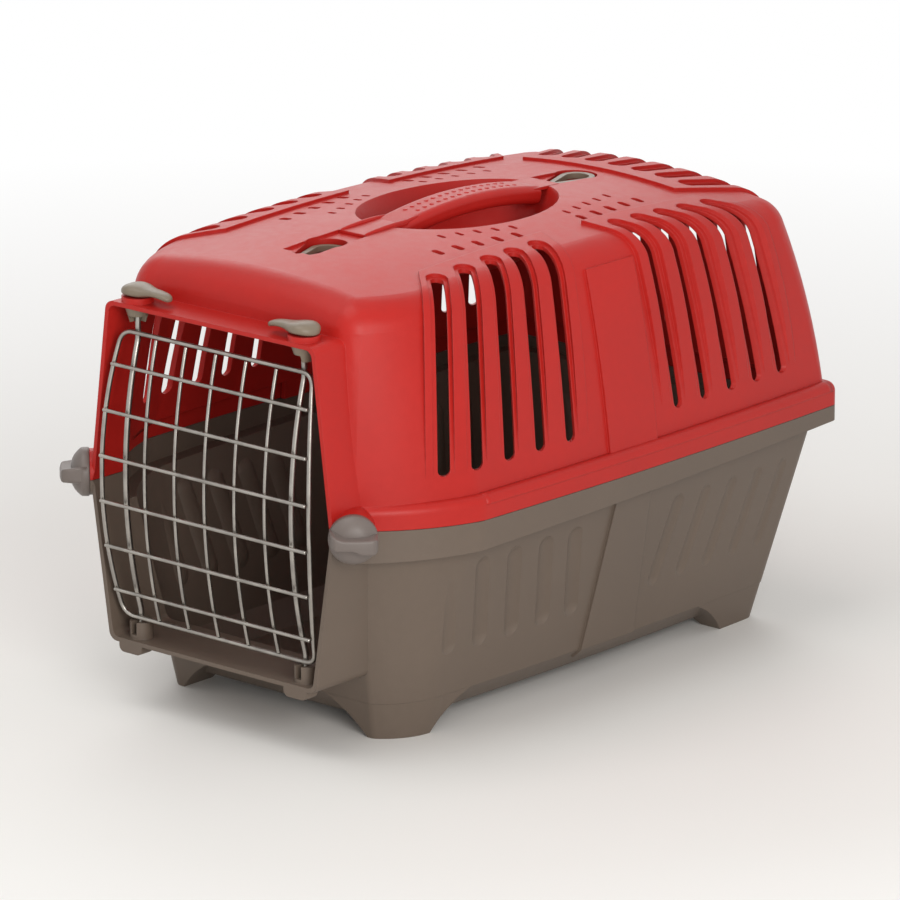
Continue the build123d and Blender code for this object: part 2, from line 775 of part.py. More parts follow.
def make_frame_wire():
    """Closed frame wire of the door, bowed forward and outward."""
    middle_z = (door_top_z + door_bottom_z) / 2
    leg = ThreePointArc((door_top_half, door_end_y, door_top_z),
                        (door_middle_half, door_end_y - door_bow, middle_z),
                        (door_bottom_half, door_end_y, door_bottom_z))
    cut = door_corner / leg.length
    high = leg @ cut
    low = leg @ (1 - cut)
    top_end = (door_top_half - door_corner, door_end_y, door_top_z)
    bottom_end = (door_bottom_half - door_corner, door_end_y, door_bottom_z)
    edges = [
        Line((0, door_end_y, door_top_z), top_end),
        Spline(top_end, high, tangents=((1, 0, 0), leg % cut)),
        ThreePointArc(high, leg @ 0.5, low),
        Spline(low, bottom_end, tangents=(leg % (1 - cut), (-1, 0, 0))),
        Line(bottom_end, (0, door_end_y, door_bottom_z)),
    ]
    path = Wire(edges)
    seat = Plane(origin=(0, door_end_y, door_top_z), z_dir=(1, 0, 0))
    half = sweep(seat * Circle(frame_radius), path)
    return solid_of(half + mirror(half, Plane.YZ))


def make_upright_wire(x):
    """Upright wire of the door mesh, bowed with the frame."""
    high = door_top_z - frame_radius - upright_end_gap
    low = door_bottom_z + frame_radius + upright_end_gap
    middle = (high + low) / 2
    path = ThreePointArc((x, door_y(high), high), (x, door_y(middle), middle), (x, door_y(low), low))
    seat = Plane(origin=path @ 0, z_dir=path % 0)
    return solid_of(sweep(seat * Circle(wire_radius), path))


def make_cross_wire(z):
    """Straight cross wire of the door mesh, in front of the uprights."""
    y = door_y(z) - frame_radius - wire_radius - mesh_gap
    half = leg_x(z) - cross_wire_setback
    seat = Plane(origin=(-half, y, z), z_dir=(1, 0, 0))
    wire = extrude(seat * Circle(wire_radius), 2 * half)
    return solid_of(chamfer(wire.edges().filter_by(GeomType.CIRCLE), wire_radius / 3))


def make_rod(x):
    """Hinge and latch rod: straight pin ends with a bowed middle."""
    y = rod_y()
    behind = frame_radius + rod_radius + weld_gap
    low_z = door_bottom_z + rod_straight
    high_z = door_top_z - rod_straight
    middle_z = (low_z + high_z) / 2
    with BuildLine(Plane.YZ.offset(x)) as line:
        Line((y, rod_bottom_z), (y, low_z))
        ThreePointArc((y, low_z), (door_y(middle_z) + behind, middle_z), (y, high_z))
        Line((y, high_z), (y, rod_top_z))
        bends = [v for v in line.vertices() if rod_bottom_z + 1 < v.Z < rod_top_z - 1]
        fillet(bends, rod_bend)
    path = line.wires()[0]
    start = path @ 0
    seat = Plane(origin=start, z_dir=path % 0)
    return solid_of(sweep(seat * Circle(rod_radius), path))


def make_lever(side):
    """Latch lever on its pad, with its tip pointing to the middle of the door."""
    low_z = collar_top_z + latch_pad_height + slide_clearance
    x = side * rod_x
    tip_x = x - side * (lever_reach - lever_tip_radius)
    head = Plane.XY.offset(low_z) * Pos(x, rod_y()) * Circle(lever_head_radius)
    tip = Plane.XY.offset(low_z) * Pos(tip_x, rod_y()) * Circle(lever_tip_radius)
    with BuildSketch(Plane.XY.offset(low_z)) as outline:
        make_hull([*head.edges(), *tip.edges()])
    arm = extrude(outline.sketch.faces()[0], lever_thickness, dir=(0, 0, 1))
    arm = fillet(arm.faces().sort_by(Axis.Z)[-1].edges(), lever_edge)
    dome = Pos(x, rod_y(), low_z + lever_thickness - 0.5 + lever_dome / 2) * \
        Cone(lever_head_radius - lever_edge, lever_dome_radius, lever_dome + 0.5)
    dome = fillet(dome.faces().sort_by(Axis.Z)[-1].edges(), lever_edge)
    bite = upright_cylinder(x, rod_y(), spindle_radius + press_clearance, low_z - 1,
                            low_z + spindle_bite + press_clearance)
    return solid_of(arm + dome - bite)


def make_hub(side):
    """Hub under the collar that holds a rod's upper end, with its spindle."""
    x = side * rod_x
    top_z = collar_top_z - collar_wall - slide_clearance
    low_z = top_z - hub_height
    hub = Pos(x, rod_y(), low_z + hub_height / 2) * Cone(hub_tip_radius, hub_top_radius, hub_height)
    lever_z = collar_top_z + latch_pad_height + slide_clearance
    hub += upright_cylinder(x, rod_y(), spindle_radius, top_z - 1, lever_z + spindle_bite)
    reach = rod_radius + hub_mouth_clearance
    x0, x1 = sorted((x + side * reach, x - side * 3 * hub_top_radius))
    mouth = block(x0, x1, rod_y() - 3 * hub_top_radius, rod_y() + reach, low_z - 1, rod_top_z + weld_gap)
    return solid_of(hub - mouth)


def make_knob(side):
    """Domed corner knob with its bold grip bar and spindle."""
    with BuildSketch(Plane.XZ) as half:
        Polygon((0, 0), (knob_radius, 0), (knob_radius, knob_rim),
                (knob_face_radius, knob_rim + knob_dome), (0, knob_rim + knob_dome), align=None)
    disc = revolve(half.sketch, Axis.Z)
    disc = fillet(disc.edges().filter_by(GeomType.CIRCLE).group_by(Axis.Z)[1], knob_edge)
    with BuildSketch(Plane.XY.offset(knob_edge)) as outline:
        near = Pos(knob_grip_near - knob_radius, 0) * Circle(knob_grip_near)
        far_end = Pos(knob_radius - knob_grip_far, 0) * Circle(knob_grip_far)
        make_hull([*near.edges(), *far_end.edges()])
    bar = extrude(outline.sketch.faces()[0], knob_grip_height - knob_edge, dir=(0, 0, 1))
    bar = fillet(bar.faces().sort_by(Axis.Z)[-1].edges(), knob_grip_edge)
    seat = knob_place(slide_clearance, side)
    inner = -pod_wall - 2 * slide_clearance - cam_thickness
    spindle = pod(knob_spindle_radius, inner, slide_clearance + 1, side)
    return solid_of(seat * (disc + bar) + spindle)


def make_cam(side):
    """Retaining disc pressed on the knob's spindle inside the pod."""
    inner = -pod_wall - 2 * slide_clearance - cam_thickness
    disc = pod(cam_radius, inner, inner + cam_thickness, side)
    return solid_of(disc - pod(knob_spindle_radius + press_clearance, inner - 1, 0, side))


def spread(count, first, last):
    """Evenly spaced values from first to last."""
    return [first + (last - first) * i / (count - 1) for i in range(count)]


def main():
    """Build every piece, centre the carrier on its origin and write one file for each."""
    pieces = {
        "lower_shell": make_lower_shell(),
        "upper_shell": make_upper_shell(),
        "carry_handle": make_handle(),
        "door_frame_wire": make_frame_wire(),
        "door_rod_left": make_rod(-rod_x),
        "door_rod_right": make_rod(rod_x),
        "latch_lever_left": make_lever(-1),
        "latch_lever_right": make_lever(1),
        "latch_hub_left": make_hub(-1),
        "latch_hub_right": make_hub(1),
        "corner_knob_left": make_knob(-1),
        "corner_knob_right": make_knob(1),
        "knob_cam_left": make_cam(-1),
        "knob_cam_right": make_cam(1),
        "strap_ring_front": make_strap_ring(front_pocket_y),
        "strap_ring_rear": make_strap_ring(rear_pocket_y),
    }
    for i, z in enumerate(spread(cross_wire_count, cross_wire_top_z, cross_wire_bottom_z)):
        pieces[f"cross_wire_{i + 1}"] = make_cross_wire(z)
    outer_x = upright_pitch * (upright_count - 1) / 2
    for i, x in enumerate(spread(upright_count, -outer_x, outer_x)):
        pieces[f"upright_wire_{i + 1}"] = make_upright_wire(x)
    boxes = [piece.bounding_box() for piece in pieces.values()]
    middle_y = (min(b.min.Y for b in boxes) + max(b.max.Y for b in boxes)) / 2
    os.makedirs("parts", exist_ok=True)
    for name, piece in pieces.items():
        export_step(piece.moved(Location((0, -middle_y, 0))), f"parts/{name}.step")
    print("moved along Y by", round(-middle_y, 3))


main()
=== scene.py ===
import json
import math

import bmesh
import bpy
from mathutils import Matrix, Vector


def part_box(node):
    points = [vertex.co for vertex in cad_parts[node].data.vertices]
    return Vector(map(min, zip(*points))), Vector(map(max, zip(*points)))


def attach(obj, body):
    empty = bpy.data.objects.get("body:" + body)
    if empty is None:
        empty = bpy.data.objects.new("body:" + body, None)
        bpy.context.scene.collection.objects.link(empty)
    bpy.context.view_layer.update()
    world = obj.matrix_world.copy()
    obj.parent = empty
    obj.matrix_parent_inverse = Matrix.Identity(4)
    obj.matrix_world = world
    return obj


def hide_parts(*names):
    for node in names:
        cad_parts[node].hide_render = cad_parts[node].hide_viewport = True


bl_info = {
    "name": "Airline Pet Carrier",
    "version": (1, 0, 0),
    "blender": (4, 5, 0),
    "location": "View3D > Sidebar > Pet Carrier",
    "description": "Moulded plastics, plated wire and small trim for a hard-shell pet carrier",
    "category": "Object",
}

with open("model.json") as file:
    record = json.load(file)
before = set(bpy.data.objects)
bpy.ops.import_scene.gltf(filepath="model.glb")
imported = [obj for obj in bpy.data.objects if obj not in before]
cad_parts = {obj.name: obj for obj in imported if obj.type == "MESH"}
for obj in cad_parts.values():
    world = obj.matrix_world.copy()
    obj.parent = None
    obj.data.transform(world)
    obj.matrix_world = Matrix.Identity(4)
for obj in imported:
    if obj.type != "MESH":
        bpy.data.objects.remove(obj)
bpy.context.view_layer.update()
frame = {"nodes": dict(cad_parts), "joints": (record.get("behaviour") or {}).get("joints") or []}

COVER_NODES = ("upper_shell", "carry_handle")
BASE_NODES = ("lower_shell",)
CAM_NODES = ("knob_cam_left", "knob_cam_right")
HUB_NODES = ("latch_hub_left", "latch_hub_right")
RING_NODES = ("strap_ring_front", "strap_ring_rear")
WIRE_NODES = tuple(name for name in frame["nodes"]
                   if name.startswith(("door_", "cross_wire", "upright_wire")))

JOINTS = {joint["name"]: joint for joint in frame["joints"]}
MM = 0.001

# Stations along a latch lever in mm: distance from the spindle, half width, underside, top
LEVER_STATIONS = (
    (-11.0, 0.5, 1.8, 3.0), (-10.4, 3.7, 0.7, 4.7), (-9.0, 6.4, 0.2, 6.1), (-6.5, 9.0, 0.0, 7.6),
    (-3.0, 10.6, 0.0, 8.4), (0.0, 11.0, 0.0, 8.5), (4.0, 10.3, 0.0, 8.1), (8.0, 8.7, 0.3, 7.4),
    (12.0, 7.1, 1.1, 6.8), (16.0, 6.2, 1.7, 6.4), (20.0, 5.8, 1.8, 6.1), (24.0, 5.3, 1.3, 5.6),
    (27.0, 4.6, 0.6, 4.9), (29.3, 3.4, 0.2, 4.0), (30.6, 1.7, 0.5, 3.0), (31.0, 0.4, 1.3, 2.1))

# Half profile of a corner knob's disc in mm: radius and height over the knob's joint
KNOB_PROFILE = (
    (16.3, 0.15), (16.8, 0.7), (16.8, 4.6), (16.5, 5.6), (15.8, 6.6), (14.2, 8.3),
    (12.0, 10.2), (9.0, 11.8), (5.0, 12.6))

# Outline of the cover's rim in mm, before the carrier is centred: three points of each long arc
RIM_SIDE = ((155.5, -139.0), (157.5, 54.0), (151.5, 247.0))
RIM_REAR = ((151.5, 247.0), (0.0, 249.0), (-151.5, 247.0))

# Where the strips over the rim start and end in mm, on the same outline
STRIP_FRONT = (157.0, -136.0)
STRIP_CORNER = (151.8, 240.4)
STRIP_REAR = (144.9, 247.2)

# Lamps: name, place in metres, side length in metres, power in watts, colour
LAMPS = (
    ("back_left_softbox", (-1.7, 1.5, 1.45), 1.5, 9.5, (1.0, 0.98, 0.96)),
    ("front_key", (1.80, -1.26, 0.85), 1.1, 27.0, (1.0, 0.98, 0.95)),
    ("overhead_fill", (-0.2, -0.7, 2.1), 1.4, 14.0, (1.0, 0.99, 0.97)))


class CarrierColours(bpy.types.PropertyGroup):
    cover: bpy.props.FloatVectorProperty(
        name="Cover", description="Colour of the cover and the handle", subtype="COLOR",
        size=3, min=0.0, max=1.0, default=(0.45, 0.017, 0.013))
    base: bpy.props.FloatVectorProperty(
        name="Base", description="Colour of the base", subtype="COLOR",
        size=3, min=0.0, max=1.0, default=(0.132, 0.099, 0.076))
    knob: bpy.props.FloatVectorProperty(
        name="Knobs", description="Colour of the corner knobs and their cams", subtype="COLOR",
        size=3, min=0.0, max=1.0, default=(0.150, 0.124, 0.112))
    latch: bpy.props.FloatVectorProperty(
        name="Latches", description="Colour of the latches and strap loops", subtype="COLOR",
        size=3, min=0.0, max=1.0, default=(0.200, 0.160, 0.116))
    wire: bpy.props.FloatVectorProperty(
        name="Wire", description="Colour of the plated door wires", subtype="COLOR",
        size=3, min=0.0, max=1.0, default=(0.41, 0.385, 0.35))
    floor: bpy.props.FloatVectorProperty(
        name="Floor", description="Colour of the studio floor", subtype="COLOR",
        size=3, min=0.0, max=1.0, default=(0.88, 0.87, 0.85))


class CarrierSizes(bpy.types.PropertyGroup):
    edge_round: bpy.props.FloatProperty(
        name="Edge round", description="Soft edge seen on moulded plastic", subtype="DISTANCE",
        unit="LENGTH", min=0.0, max=0.003, default=0.0009)
    camera_distance: bpy.props.FloatProperty(
        name="Camera distance", description="From the aim point to the lens", subtype="DISTANCE",
        unit="LENGTH", min=1.0, max=10.0, default=5.101)
    camera_azimuth: bpy.props.FloatProperty(
        name="Camera azimuth", description="Turn of the camera from the door's side", subtype="ANGLE",
        unit="ROTATION", default=math.radians(41.3))
    camera_elevation: bpy.props.FloatProperty(
        name="Camera elevation", description="Height angle of the camera", subtype="ANGLE",
        unit="ROTATION", default=math.radians(15.9))
    camera_lens: bpy.props.FloatProperty(
        name="Lens", description="Focal length in millimetres", min=50.0, max=400.0, default=293.2)


def node_tree(material):
    """The material's tree, emptied, with its output and a Principled BSDF."""
    material.use_nodes = True
    tree = material.node_tree
    tree.nodes.clear()
    output = tree.nodes.new("ShaderNodeOutputMaterial")
    shader = tree.nodes.new("ShaderNodeBsdfPrincipled")
    tree.links.new(shader.outputs["BSDF"], output.inputs["Surface"])
    return tree, shader


def group_tree(name, inputs, outputs):
    """A shader node group with its sockets, given as name, type and default."""
    tree = bpy.data.node_groups.new(name, "ShaderNodeTree")
    for label, kind, default in inputs:
        socket = tree.interface.new_socket(name=label, in_out="INPUT", socket_type=kind)
        if default is not None:
            socket.default_value = default
    for label, kind in outputs:
        tree.interface.new_socket(name=label, in_out="OUTPUT", socket_type=kind)
    start = tree.nodes.new("NodeGroupInput")
    end = tree.nodes.new("NodeGroupOutput")
    return tree, start, end


def noise(tree, vector, scale, detail=2.0, roughness=0.5):
    """A noise texture on the given coordinates."""
    node = tree.nodes.new("ShaderNodeTexNoise")
    node.inputs["Scale"].default_value = scale
    node.inputs["Detail"].default_value = detail
    node.inputs["Roughness"].default_value = roughness
    tree.links.new(vector, node.inputs["Vector"])
    return node.outputs["Fac"]


def ramp(tree, value, low, high, out_low=0.0, out_high=1.0):
    """A value mapped from one range to another and held inside it."""
    node = tree.nodes.new("ShaderNodeMapRange")
    node.inputs["From Min"].default_value = low
    node.inputs["From Max"].default_value = high
    node.inputs["To Min"].default_value = out_low
    node.inputs["To Max"].default_value = out_high
    tree.links.new(value, node.inputs["Value"])
    return node.outputs["Result"]


def combine(tree, operation, first, second):
    """A math node on two values or numbers."""
    node = tree.nodes.new("ShaderNodeMath")
    node.operation = operation
    for i, value in enumerate((first, second)):
        if isinstance(value, (int, float)):
            node.inputs[i].default_value = value
        else:
            tree.links.new(value, node.inputs[i])
    return node.outputs[0]


def mix_colour(tree, factor, first, second):
    """A mix of two colours by a factor."""
    node = tree.nodes.new("ShaderNodeMix")
    node.data_type = "RGBA"
    tree.links.new(factor, node.inputs["Factor"])
    for socket, value in ((node.inputs["A"], first), (node.inputs["B"], second)):
        if isinstance(value, (tuple, list)):
            socket.default_value = value
        else:
            tree.links.new(value, socket)
    return node.outputs["Result"]


def moulded_plastic_group():
    """Fine spark grain, faint flow clouds and edge wear of moulded plastic."""
    tree, start, end = group_tree(
        "Moulded plastic",
        (("Colour", "NodeSocketColor", (0.5, 0.5, 0.5, 1.0)),
         ("Worn colour", "NodeSocketColor", (0.7, 0.7, 0.7, 1.0)),
         ("Roughness", "NodeSocketFloat", 0.45),
         ("Edge round", "NodeSocketFloat", 0.001),
         ("Grain", "NodeSocketFloat", 0.1)),
        (("Colour", "NodeSocketColor"),
         ("Roughness", "NodeSocketFloat"),
         ("Normal", "NodeSocketVector")))
    place = tree.nodes.new("ShaderNodeTexCoord").outputs["Object"]
    cloud = noise(tree, place, 9.0, 3.0)
    mottle = noise(tree, place, 160.0, 2.0)
    grain = noise(tree, place, 2600.0, 1.0)
    pores = noise(tree, place, 900.0, 2.0, 0.6)

    geometry = tree.nodes.new("ShaderNodeNewGeometry")
    edge = tree.nodes.new("ShaderNodeBevel")
    edge.samples = 4
    tree.links.new(start.outputs["Edge round"], edge.inputs["Radius"])
    facing = tree.nodes.new("ShaderNodeVectorMath")
    facing.operation = "DOT_PRODUCT"
    tree.links.new(edge.outputs["Normal"], facing.inputs[0])
    tree.links.new(geometry.outputs["Normal"], facing.inputs[1])
    worn = ramp(tree, facing.outputs["Value"], 0.97, 0.80, 0.0, 0.55)
    worn = combine(tree, "MULTIPLY", worn, ramp(tree, mottle, 0.40, 0.62))

    shade = tree.nodes.new("ShaderNodeHueSaturation")
    tree.links.new(start.outputs["Colour"], shade.inputs["Color"])
    tone = combine(tree, "ADD", ramp(tree, cloud, 0.3, 0.7, 0.94, 1.05),
                   ramp(tree, mottle, 0.3, 0.7, -0.02, 0.02))
    tree.links.new(tone, shade.inputs["Value"])
    colour = mix_colour(tree, worn, shade.outputs["Color"], start.outputs["Worn colour"])
    tree.links.new(colour, end.inputs["Colour"])

    rough = combine(tree, "ADD", start.outputs["Roughness"], ramp(tree, cloud, 0.3, 0.7, -0.03, 0.04))
    rough = combine(tree, "ADD", rough, ramp(tree, mottle, 0.3, 0.7, -0.02, 0.03))
    tree.links.new(rough, end.inputs["Roughness"])

    height = combine(tree, "ADD", grain, combine(tree, "MULTIPLY", pores, 0.8))
    bump = tree.nodes.new("ShaderNodeBump")
    bump.inputs["Distance"].default_value = 0.00012
    tree.links.new(start.outputs["Grain"], bump.inputs["Strength"])
    tree.links.new(height, bump.inputs["Height"])
    tree.links.new(edge.outputs["Normal"], bump.inputs["Normal"])
    tree.links.new(bump.outputs["Normal"], end.inputs["Normal"])
    return tree


def plastic(name, colour, worn, roughness, edge_round, grain, specular=0.4):
    """A moulded plastic material."""
    material = bpy.data.materials.new(name)
    tree, shader = node_tree(material)
    group = tree.nodes.new("ShaderNodeGroup")
    group.node_tree = bpy.data.node_groups.get("Moulded plastic") or moulded_plastic_group()
    group.inputs["Colour"].default_value = (*colour, 1.0)
    group.inputs["Worn colour"].default_value = (*worn, 1.0)
    group.inputs["Roughness"].default_value = roughness
    group.inputs["Edge round"].default_value = edge_round
    group.inputs["Grain"].default_value = grain
    tree.links.new(group.outputs["Colour"], shader.inputs["Base Color"])
    tree.links.new(group.outputs["Roughness"], shader.inputs["Roughness"])
    tree.links.new(group.outputs["Normal"], shader.inputs["Normal"])
    shader.inputs["IOR"].default_value = 1.49
    shader.inputs["Specular IOR Level"].default_value = specular
    return material


def paler(colour, gain, lift=0.0):
    """A colour made paler, as moulded plastic is at its worn edges."""
    return tuple(min(1.0, c * gain + lift) for c in colour)


def plated_wire(name, colour):
    """Zinc-plated wire: bright metal with dull blotches and fine drawing lines."""
    material = bpy.data.materials.new(name)
    tree, shader = node_tree(material)
    place = tree.nodes.new("ShaderNodeTexCoord").outputs["Object"]
    blotch = noise(tree, place, 70.0, 3.0)
    fine = noise(tree, place, 1500.0, 2.0)
    dull = tuple(c * 0.72 for c in colour)
    mixed = mix_colour(tree, ramp(tree, blotch, 0.35, 0.65), (*dull, 1.0), (*colour, 1.0))
    tree.links.new(mixed, shader.inputs["Base Color"])
    rough = combine(tree, "ADD", ramp(tree, blotch, 0.3, 0.7, 0.42, 0.28),
                    ramp(tree, fine, 0.3, 0.7, -0.04, 0.04))
    tree.links.new(rough, shader.inputs["Roughness"])
    bump = tree.nodes.new("ShaderNodeBump")
    bump.inputs["Distance"].default_value = 0.00005
    bump.inputs["Strength"].default_value = 0.25
    tree.links.new(fine, bump.inputs["Height"])
    tree.links.new(bump.outputs["Normal"], shader.inputs["Normal"])
    shader.inputs["Metallic"].default_value = 1.0
    return material


def dress(nodes, material):
    """Give CAD nodes one material."""
    for name in nodes:
        for slot in frame["nodes"][name].material_slots:
            slot.material = material


def shell_piece(name, rings, body, material):
    """A closed, smooth piece through rings of points, which rides on a body."""
    mesh = bpy.data.meshes.new(name)
    form = bmesh.new()
    loops = [[form.verts.new(point) for point in ring] for ring in rings]
    count = len(loops[0])
    for near, beyond in zip(loops, loops[1:]):
        for i in range(count):
            j = (i + 1) % count
            form.faces.new((near[i], near[j], beyond[j], beyond[i]))
    form.faces.new(loops[0][::-1])
    form.faces.new(loops[-1])
    bmesh.ops.recalc_face_normals(form, faces=form.faces)
    for face in form.faces:
        face.smooth = len(face.verts) == 4
    form.to_mesh(mesh)
    form.free()
    return settle(name, mesh, body, material)


def settle(name, mesh, body, material):
    """Put a mesh in the scene with its finish and its body."""
    mesh.materials.append(material)
    piece = bpy.data.objects.new(name, mesh)
    bpy.context.scene.collection.objects.link(piece)
    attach(piece, body)
    return piece


def eased(stations, steps):
    """Points on a smooth curve through rows of numbers."""
    rows = [stations[0], *stations, stations[-1]]
    curve = []
    for i in range(1, len(rows) - 2):
        for k in range(steps):
            t = k / steps
            curve.append([0.5 * (2 * b + (c - a) * t + (2 * a - 5 * b + 4 * c - d) * t ** 2
                                 + (3 * b - a - 3 * c + d) * t ** 3)
                          for a, b, c, d in zip(*rows[i - 1:i + 3])])
    curve.append(list(stations[-1]))
    return curve


def centring_shift():
    """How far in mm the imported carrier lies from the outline's own Y."""
    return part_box("upper_shell")[1].y / MM - RIM_REAR[1][1]


def circle_through(a, b, c):
    """Centre and radius of the circle through three points of a plan."""
    (ax, ay), (bx, by), (cx, cy) = a, b, c
    turn = 2 * (ax * (by - cy) + bx * (cy - ay) + cx * (ay - by))
    sa, sb, sc = ax ** 2 + ay ** 2, bx ** 2 + by ** 2, cx ** 2 + cy ** 2
    x = (sa * (by - cy) + sb * (cy - ay) + sc * (ay - by)) / turn
    y = (sa * (cx - bx) + sb * (ax - cx) + sc * (bx - ax)) / turn
    return x, y, math.hypot(ax - x, ay - y)


class CARRIER_OT_rim(bpy.types.Operator):
    """Rounded upper edge of the cover's rim along the sides and the rear"""
    bl_idname = "carrier.rim"
    bl_label = "Rim round"

    # All in mm: the edge's round and the height of its centre, how far the strip stands over it,
    # and how deep it reaches into it
    round_radius = 7.0
    middle_z = 167.8
    skin = 0.05
    depth = 0.8
    steps = 80
    # Degrees between the points of a strip's section, outside and inside
    outer_turn = 9
    inner_turn = 15

    def strip(self, name, arc, ends, shift):
        """A thin shell over the quarter round that follows one arc of the rim."""
        x, y, radius = circle_through(*arc)
        start, end = (math.atan2(py - y, px - x) for px, py in ends)
        end = start + (end - start + math.pi) % math.tau - math.pi
        outer = self.round_radius + self.skin
        inner = self.round_radius - self.depth
        section = [(outer, math.radians(a)) for a in range(0, 91, self.outer_turn)]
        section += [(inner, math.radians(a)) for a in range(90, -1, -self.inner_turn)]
        rings = []
        for i in range(self.steps + 1):
            angle = start + (end - start) * i / self.steps
            ring = []
            for reach, lift in section:
                out = radius - self.round_radius + reach * math.cos(lift)
                ring.append(Vector((x + out * math.cos(angle),
                                    y + shift + out * math.sin(angle),
                                    self.middle_z + reach * math.sin(lift))) * MM)
            rings.append(ring)
        shell_piece(name, rings, "cover", bpy.data.materials["Cover plastic"])

    def execute(self, context):
        def mirrored(points):
            return tuple((-x, y) for x, y in reversed(points))

        shift = centring_shift()
        side = (STRIP_FRONT, STRIP_CORNER)
        rear = (STRIP_REAR, *mirrored([STRIP_REAR]))
        self.strip("rim_round_right", RIM_SIDE, side, shift)
        self.strip("rim_round_left", mirrored(RIM_SIDE), mirrored(side), shift)
        self.strip("rim_round_rear", RIM_REAR, rear, shift)
        return {"FINISHED"}


class CARRIER_OT_levers(bpy.types.Operator):
    """Leaf-shaped latch levers on top of the collar"""
    bl_idname = "carrier.levers"
    bl_label = "Latch levers"

    # Power of the section's rounded outline, between an ellipse at 2 and a box
    softness = 2.5
    points = 32
    # All in mm: the round head about the spindle, and the least half width and thickness
    head_radius = 11.0
    least_half = 0.2
    least_thickness = 0.4

    def soften(self, value):
        """A sine or cosine drawn out towards a box's side."""
        return math.copysign(abs(value) ** (2 / self.softness), value)

    def execute(self, context):
        for side, word in ((-1, "left"), (1, "right")):
            low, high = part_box("latch_lever_" + word)
            pivot_x = high.x - self.head_radius * MM if side > 0 else low.x + self.head_radius * MM
            pivot_y = (low.y + high.y) / 2
            rings = []
            for along, half, under, top in eased(LEVER_STATIONS, 4):
                half = max(half, self.least_half)
                thickness = max(top - under, self.least_thickness)
                ring = []
                for i in range(self.points):
                    angle = math.tau * i / self.points
                    wide = self.soften(math.cos(angle)) * half
                    tall = self.soften(math.sin(angle)) * thickness / 2
                    height = max(0.0, (under + top) / 2 + tall)
                    ring.append(Vector((pivot_x - side * along * MM, pivot_y + wide * MM,
                                        low.z + height * MM)))
                rings.append(ring)
            lever = shell_piece("leaf_lever_" + word, rings, "latch_" + word,
                                bpy.data.materials["Latch plastic"])
            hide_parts("latch_lever_" + word)
        return {"FINISHED"}


class CARRIER_OT_knobs(bpy.types.Operator):
    """Domed corner knobs with a wavy grip bar"""
    bl_idname = "carrier.knobs"
    bl_label = "Corner knobs"

    # All in mm, heights over the knob's joint
    radius = max(KNOB_PROFILE)[0]
    spindle_radius = 5.0
    spindle_reach = 5.0
    disc_back = KNOB_PROFILE[0][1]
    disc_crown = 12.9
    cap_radius = 0.6
    bar_foot = 2.0
    bar_waist = 10.0
    bar_top = 20.4
    bar_crown = 1.6
    bar_end_drop = 7.0
    bar_flare = 1.8
    bar_round = 1.6
    # Shares of the radius: the bar's reach, where its ends start to round off, and their length
    bar_reach = 0.96
    end_start = 0.72
    end_length = 0.24
    end_narrowing = 0.55
    # Shares of the radius: the lower edge of the bar and how far its wave lowers it, where the wave
    # starts and its length, the upper edge, and the middle, half width and rise of its hollow
    low_edge = 0.24
    wave_drop = 0.17
    wave_start = -0.15
    wave_length = 0.6
    high_edge = 0.20
    hollow_middle = 0.15
    hollow_half = 0.4
    hollow_rise = 0.5
    disc_points = 72
    bar_steps = 40

    def bar_edges(self, share):
        """Lower and upper edge of the grip bar in mm at a share of the radius along it."""
        wave = max(0.0, min(1.0, (share - self.wave_start) / self.wave_length))
        wave = wave * wave * (3 - 2 * wave)
        lip = max(0.0, abs(share - self.hollow_middle) - self.hollow_half) ** 2
        low = -(self.low_edge + self.wave_drop * wave) * self.radius
        return low, (self.high_edge + self.hollow_rise * lip) * self.radius

    def bar_ring(self, along):
        """Section of the grip bar at a distance along it, as side and height."""
        share = along / self.radius
        low, high = self.bar_edges(share)
        end = max(0.0, (abs(share) - self.end_start) / self.end_length)
        drop = 1 - math.sqrt(max(0.0, 1 - min(1.0, end) ** 2))
        top = self.bar_top - self.bar_crown * share ** 2 - self.bar_end_drop * drop
        middle = (low + high) / 2
        half = (high - low) / 2 * (1 - self.end_narrowing * drop)
        low, high = middle - half, middle + half
        turns = [math.radians(angle) for angle in (0.0, 22.5, 45.0, 67.5, 90.0)]
        ring = [(high + self.bar_flare, self.bar_foot), (high + 0.5 * self.bar_flare, self.bar_waist)]
        ring += [(high - self.bar_round * (1 - math.cos(turn)),
                  top - self.bar_round * (1 - math.sin(turn))) for turn in turns]
        ring += [(low + self.bar_round * (1 - math.sin(turn)),
                  top - self.bar_round * (1 - math.cos(turn))) for turn in turns]
        ring += [(low - 0.5 * self.bar_flare, self.bar_waist), (low - self.bar_flare, self.bar_foot)]
        return ring

    def execute(self, context):
        finish = bpy.data.materials["Knob plastic"]
        for side, word in ((-1, "left"), (1, "right")):
            joint = JOINTS["knob_" + word]
            middle = Vector(joint["pos_m"])
            out = Vector(joint["axis"]).normalized()
            up = Vector((0.0, 0.0, 1.0))
            across = up.cross(out) * side

            def place(along, lift, height):
                return middle + (across * along + up * lift + out * height) * MM

            profile = [(self.cap_radius, -self.spindle_reach),
                       (self.spindle_radius, -self.spindle_reach),
                       (self.spindle_radius, self.disc_back),
                       *KNOB_PROFILE,
                       (self.cap_radius, self.disc_crown)]
            turns = [math.tau * i / self.disc_points for i in range(self.disc_points)]
            rings = [[place(reach * math.cos(turn), reach * math.sin(turn), height) for turn in turns]
                     for reach, height in profile]
            disc = shell_piece("knob_disc_" + word, rings, "knob_" + word, finish)
            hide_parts("corner_knob_" + word)

            reach = self.radius * self.bar_reach
            stops = [-reach * math.cos(math.pi * i / self.bar_steps) for i in range(self.bar_steps + 1)]
            rings = [[place(along, lift, height) for lift, height in self.bar_ring(along)]
                     for along in stops]
            shell_piece("knob_bar_" + word, rings, "knob_" + word, finish)
        return {"FINISHED"}


